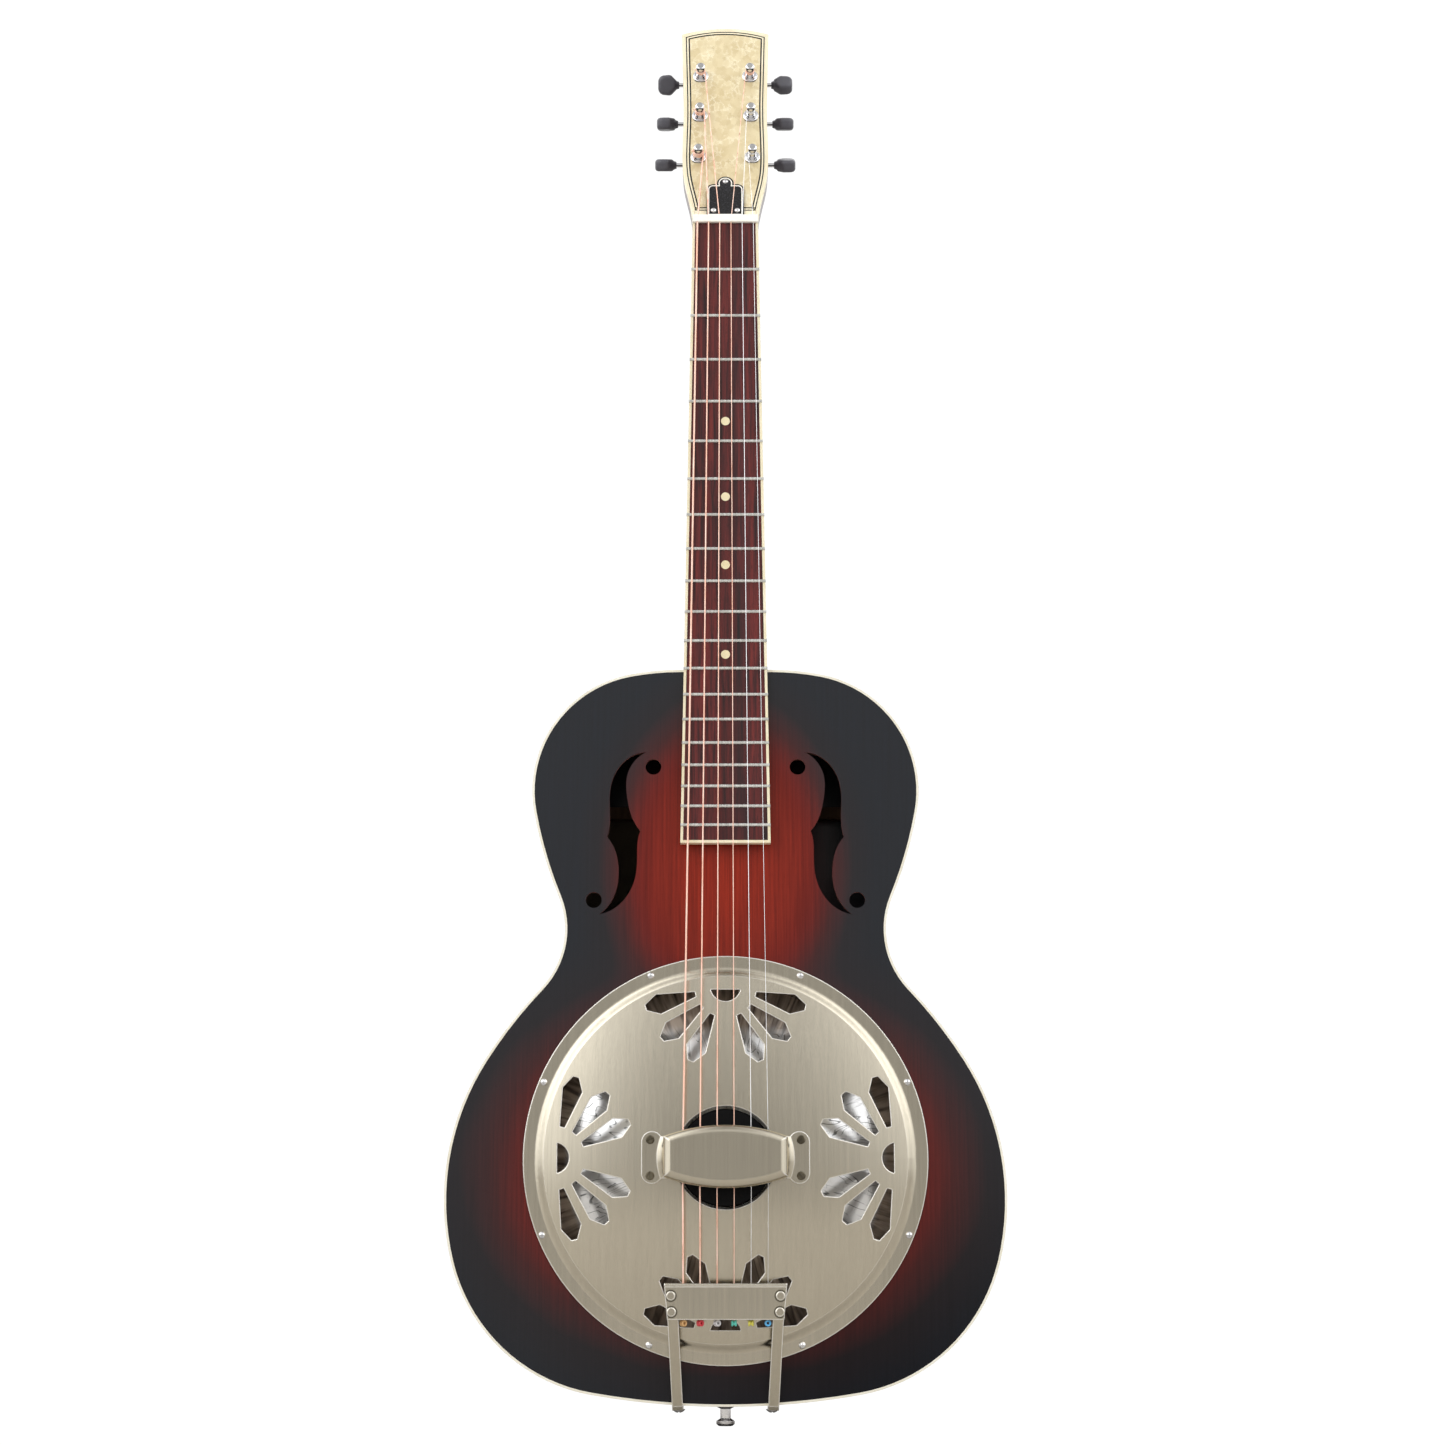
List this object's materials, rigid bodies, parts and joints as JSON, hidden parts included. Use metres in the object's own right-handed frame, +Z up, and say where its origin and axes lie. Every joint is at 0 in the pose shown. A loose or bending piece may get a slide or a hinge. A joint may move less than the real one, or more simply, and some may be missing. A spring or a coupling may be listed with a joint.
{
  "type": "resonator guitar",
  "caption": "Wood-bodied resonator guitar with a spun cone under a perforated coverplate, a hand rest, a strap tailpiece, a fretted neck and geared tuners.",
  "frame": {"origin": "on the outer face of the flat back, straight behind the middle of the saddle", "axes": "+Z up the neck, -Y out of the soundboard, +X towards the treble side"},
  "size_m": [0.3614, 0.1195, 0.9723],
  "materials": {
    "sunburst_wood": "satin red-brown with a black edge",
    "stained_wood": "satin dark stain",
    "bare_wood": "unfinished",
    "black_wood": "satin black",
    "board_wood": "oiled dark reddish brown",
    "cream_binding": "satin cream",
    "spun_aluminium": "spun",
    "brushed_nickel": "warm brushed nickel",
    "bright_nickel": "polished",
    "steel": "plain",
    "fret_wire": "polished nickel silver",
    "bone": "satin bone colour",
    "pearl_face": "pearl-like cream",
    "black_plastic": "gloss black",
    "black_button": "satin black",
    "plain_string": "plain wire",
    "bronze_string": "bronze wound",
    "ball_end": "coloured ball ends"
  },
  "bodies": {
    "guitar": {"back": "stained_wood", "biscuit": "black_wood", "biscuit_screw": "bright_nickel", "body_bindings": "cream_binding", "braces": "bare_wood", "coverplate": "brushed_nickel", "coverplate_screws": "bright_nickel", "fingerboard": "board_wood", "fingerboard_binding": "cream_binding", "fingerboard_wedge": "bare_wood", "frets": "fret_wire", "hand_rest": "brushed_nickel", "hand_rest_screws": "brushed_nickel", "headstock_binding": "cream_binding", "headstock_veneer": "pearl_face", "linings": "bare_wood", "neck": "stained_wood", "neck_block": "bare_wood", "neck_bolts": "steel", "nut": "bone", "plain_strings": "plain_string", "position_dots": "cream_binding", "resonator_cone": "spun_aluminium", "saddle": "bare_wood", "sides": "stained_wood", "soundwell": "bare_wood", "strap_button": "bright_nickel", "string_ball_ends": "ball_end", "tail_block": "bare_wood", "tailpiece_plate": "brushed_nickel", "tailpiece_rivets": "brushed_nickel", "tailpiece_screws": "bright_nickel", "tailpiece_straps": "brushed_nickel", "top": "sunburst_wood", "truss_rod": "steel", "truss_rod_cover": "black_plastic", "truss_rod_cover_screws": "bright_nickel", "tuner_ferrules": "bright_nickel", "tuner_plate_screws": "bright_nickel", "tuner_plates": "bright_nickel", "wound_strings": "bronze_string"},
    "tuner_1_knob": {"tuner_worm_1": "bright_nickel", "tuner_button_1": "black_button"},
    "tuner_1_post": {"tuner_post_1": "bright_nickel"},
    "tuner_2_knob": {"tuner_worm_2": "bright_nickel", "tuner_button_2": "black_button"},
    "tuner_2_post": {"tuner_post_2": "bright_nickel"},
    "tuner_3_knob": {"tuner_worm_3": "bright_nickel", "tuner_button_3": "black_button"},
    "tuner_3_post": {"tuner_post_3": "bright_nickel"},
    "tuner_4_knob": {"tuner_worm_4": "bright_nickel", "tuner_button_4": "black_button"},
    "tuner_4_post": {"tuner_post_4": "bright_nickel"},
    "tuner_5_knob": {"tuner_worm_5": "bright_nickel", "tuner_button_5": "black_button"},
    "tuner_5_post": {"tuner_post_5": "bright_nickel"},
    "tuner_6_knob": {"tuner_worm_6": "bright_nickel", "tuner_button_6": "black_button"},
    "tuner_6_post": {"tuner_post_6": "bright_nickel"},
    "rod_nut": {"truss_rod_nut": "steel"}
  },
  "joints": [
    {"name": "tuner_1_knob_turn", "type": "hinge", "parent": "guitar", "child": "tuner_1_knob", "pos_m": [0.0188, -0.03957, 0.69506], "axis": [1, 0, 0], "continuous": true},
    {"name": "tuner_1_post_turn", "type": "hinge", "parent": "guitar", "child": "tuner_1_post", "pos_m": [0.0188, -0.04612, 0.6882], "axis": [0, 0.9611, -0.2763], "continuous": true},
    {"name": "tuner_2_knob_turn", "type": "hinge", "parent": "guitar", "child": "tuner_2_knob", "pos_m": [0.0179, -0.02951, 0.73004], "axis": [1, 0, 0], "continuous": true},
    {"name": "tuner_2_post_turn", "type": "hinge", "parent": "guitar", "child": "tuner_2_post", "pos_m": [0.0179, -0.03606, 0.72319], "axis": [0, 0.9611, -0.2763], "continuous": true},
    {"name": "tuner_3_knob_turn", "type": "hinge", "parent": "guitar", "child": "tuner_3_knob", "pos_m": [0.0174, -0.01973, 0.76407], "axis": [1, 0, 0], "continuous": true},
    {"name": "tuner_3_post_turn", "type": "hinge", "parent": "guitar", "child": "tuner_3_post", "pos_m": [0.0174, -0.02628, 0.75721], "axis": [0, 0.9611, -0.2763], "continuous": true},
    {"name": "tuner_4_knob_turn", "type": "hinge", "parent": "guitar", "child": "tuner_4_knob", "pos_m": [-0.0174, -0.01973, 0.76407], "axis": [1, 0, 0], "continuous": true},
    {"name": "tuner_4_post_turn", "type": "hinge", "parent": "guitar", "child": "tuner_4_post", "pos_m": [-0.0174, -0.02628, 0.75721], "axis": [0, 0.9611, -0.2763], "continuous": true},
    {"name": "tuner_5_knob_turn", "type": "hinge", "parent": "guitar", "child": "tuner_5_knob", "pos_m": [-0.0179, -0.02951, 0.73004], "axis": [1, 0, 0], "continuous": true},
    {"name": "tuner_5_post_turn", "type": "hinge", "parent": "guitar", "child": "tuner_5_post", "pos_m": [-0.0179, -0.03606, 0.72319], "axis": [0, 0.9611, -0.2763], "continuous": true},
    {"name": "tuner_6_knob_turn", "type": "hinge", "parent": "guitar", "child": "tuner_6_knob", "pos_m": [-0.0188, -0.03957, 0.69506], "axis": [1, 0, 0], "continuous": true},
    {"name": "tuner_6_post_turn", "type": "hinge", "parent": "guitar", "child": "tuner_6_post", "pos_m": [-0.0188, -0.04612, 0.6882], "axis": [0, 0.9611, -0.2763], "continuous": true},
    {"name": "truss_rod_nut_turn", "type": "hinge", "parent": "guitar", "child": "rod_nut", "pos_m": [0, -0.06792, 0.64557], "axis": [0, 0.0356, 0.9994], "range_deg": [-180, 180]}
  ],
  "couplings": [
    {"joint": "tuner_1_post_turn", "follows": "tuner_1_knob_turn", "ratio": -0.055556},
    {"joint": "tuner_2_post_turn", "follows": "tuner_2_knob_turn", "ratio": -0.055556},
    {"joint": "tuner_3_post_turn", "follows": "tuner_3_knob_turn", "ratio": -0.055556},
    {"joint": "tuner_4_post_turn", "follows": "tuner_4_knob_turn", "ratio": 0.055556},
    {"joint": "tuner_5_post_turn", "follows": "tuner_5_knob_turn", "ratio": 0.055556},
    {"joint": "tuner_6_post_turn", "follows": "tuner_6_knob_turn", "ratio": 0.055556}
  ]
}
